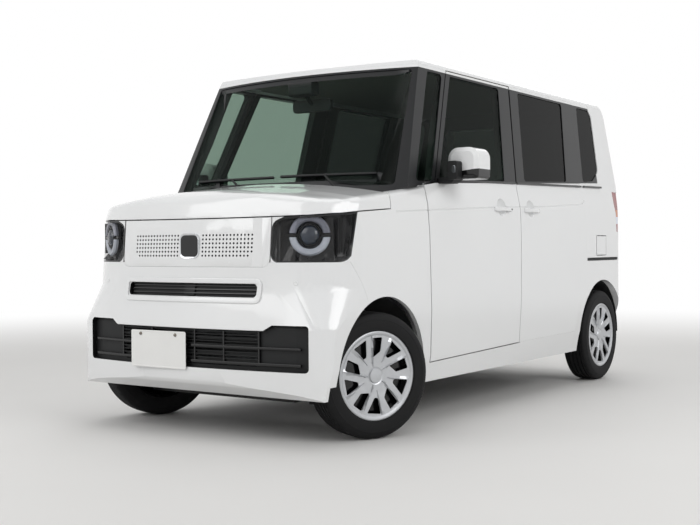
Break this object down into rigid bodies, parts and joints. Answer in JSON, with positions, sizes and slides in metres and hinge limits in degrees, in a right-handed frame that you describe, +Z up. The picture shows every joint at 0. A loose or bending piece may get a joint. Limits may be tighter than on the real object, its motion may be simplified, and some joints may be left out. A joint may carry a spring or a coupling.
{
  "type": "kei car",
  "caption": "Tall four-wheeled kei car with hinged front doors, hood, tailgate and fuel lid, sliding rear doors and steered front wheels.",
  "frame": {"origin": "on the ground under the middle of the bounding box", "axes": "+Z up, the front faces -Y, the car's left side is +X"},
  "size_m": [1.72, 3.395, 1.79],
  "materials": {
    "paint": "gloss",
    "pillar_paint": "gloss",
    "side_glass": "gloss",
    "black_plastic": "satin",
    "lamp_clear": "gloss",
    "lamp_red": "gloss",
    "underbody": "matte",
    "engine_metal": "matte",
    "muffler_steel": "satin",
    "tyre": "matte",
    "wheel_cover": "satin",
    "seat_fabric": "matte"
  },
  "bodies": {
    "body": {"rear_bumper": "paint", "tail_lamps": "lamp_red", "roof_panel": "paint", "pillar_frames": "pillar_paint", "body_sides": "paint", "sliding_doors": "paint", "fixed_glass": "side_glass", "front_fenders": "paint", "grille_panel": "paint", "headlamps": "lamp_clear", "front_bumper": "paint", "intake_grilles": "black_plastic", "cowl_panel": "black_plastic", "floor_pan": "underbody", "front_rails": "underbody", "arch_liners": "black_plastic", "engine_block": "engine_metal", "front_subframe": "underbody", "rear_axle": "underbody", "fuel_tank": "underbody", "muffler": "muffler_steel", "dashboard": "black_plastic", "seats": "seat_fabric", "seat_bases": "seat_fabric"},
    "front_door_left": {"front_door_left": "paint", "front_glass_left": "side_glass", "door_mirror_left": "paint"},
    "front_door_right": {"front_door_right": "paint", "front_glass_right": "side_glass", "door_mirror_right": "paint"},
    "hood": {"hood": "paint"},
    "tailgate": {"tailgate": "paint", "tailgate_glass": "side_glass"},
    "fuel_lid": {"fuel_lid": "paint"},
    "knuckle_left": {"knuckle_left": "underbody"},
    "knuckle_right": {"knuckle_right": "underbody"},
    "front_left_wheel": {"tyre_front_left": "tyre", "wheel_front_left": "wheel_cover"},
    "front_right_wheel": {"tyre_front_right": "tyre", "wheel_front_right": "wheel_cover"},
    "rear_left_wheel": {"tyre_rear_left": "tyre", "wheel_rear_left": "wheel_cover"},
    "rear_right_wheel": {"tyre_rear_right": "tyre", "wheel_rear_right": "wheel_cover"},
    "steering_wheel": {"steering_wheel": "black_plastic"}
  },
  "joints": [
    {"name": "front_door_left_hinge", "type": "hinge", "parent": "body", "child": "front_door_left", "pos_m": [0.7235, -0.759, 0.3], "axis": [0, 0.0398, -0.9992], "range_deg": [0, 65]},
    {"name": "front_door_right_hinge", "type": "hinge", "parent": "body", "child": "front_door_right", "pos_m": [-0.7235, -0.759, 0.3], "axis": [0, -0.0398, 0.9992], "range_deg": [0, 65]},
    {"name": "hood_hinge", "type": "hinge", "parent": "body", "child": "hood", "pos_m": [0, -1.155, 1.08], "axis": [-1, 0, 0], "range_deg": [0, 45]},
    {"name": "tailgate_hinge", "type": "hinge", "parent": "body", "child": "tailgate", "pos_m": [0, 1.545, 1.705], "axis": [1, 0, 0], "range_deg": [0, 80]},
    {"name": "fuel_lid_hinge", "type": "hinge", "parent": "body", "child": "fuel_lid", "pos_m": [0.7325, 1.23, 0.838], "axis": [0, 0, -1], "range_deg": [0, 100]},
    {"name": "steer_left", "type": "hinge", "parent": "body", "child": "knuckle_left", "pos_m": [0.64, -1.195, 0.16105], "axis": [-0.1909, 0, 0.9816], "range_deg": [-13.5, 58.5]},
    {"name": "steer_right", "type": "hinge", "parent": "body", "child": "knuckle_right", "pos_m": [-0.64, -1.195, 0.16105], "axis": [0.1909, 0, 0.9816], "range_deg": [-13.5, 58.5]},
    {"name": "front_left_spin", "type": "hinge", "parent": "knuckle_left", "child": "front_left_wheel", "pos_m": [0.64989, -1.20835, 0.27904], "axis": [0.9267, -0.3756, -0.0143], "continuous": true},
    {"name": "front_right_spin", "type": "hinge", "parent": "knuckle_right", "child": "front_right_wheel", "pos_m": [-0.64989, -1.18165, 0.27904], "axis": [0.9267, -0.3756, 0.0143], "continuous": true},
    {"name": "rear_left_spin", "type": "hinge", "parent": "body", "child": "rear_left_wheel", "pos_m": [0.6525, 1.325, 0.2785], "axis": [1, 0, 0], "continuous": true},
    {"name": "rear_right_spin", "type": "hinge", "parent": "body", "child": "rear_right_wheel", "pos_m": [-0.6525, 1.325, 0.2785], "axis": [1, 0, 0], "continuous": true},
    {"name": "steering_wheel_spin", "type": "hinge", "parent": "body", "child": "steering_wheel", "pos_m": [-0.33, -0.5, 0.985], "axis": [0, 0.9135, 0.4067], "range_deg": [-202.5, 877.5]}
  ],
  "couplings": [
    {"joint": "steer_right", "follows": "steer_left", "ratio": 1},
    {"joint": "steering_wheel_spin", "follows": "steer_left", "ratio": 15}
  ]
}
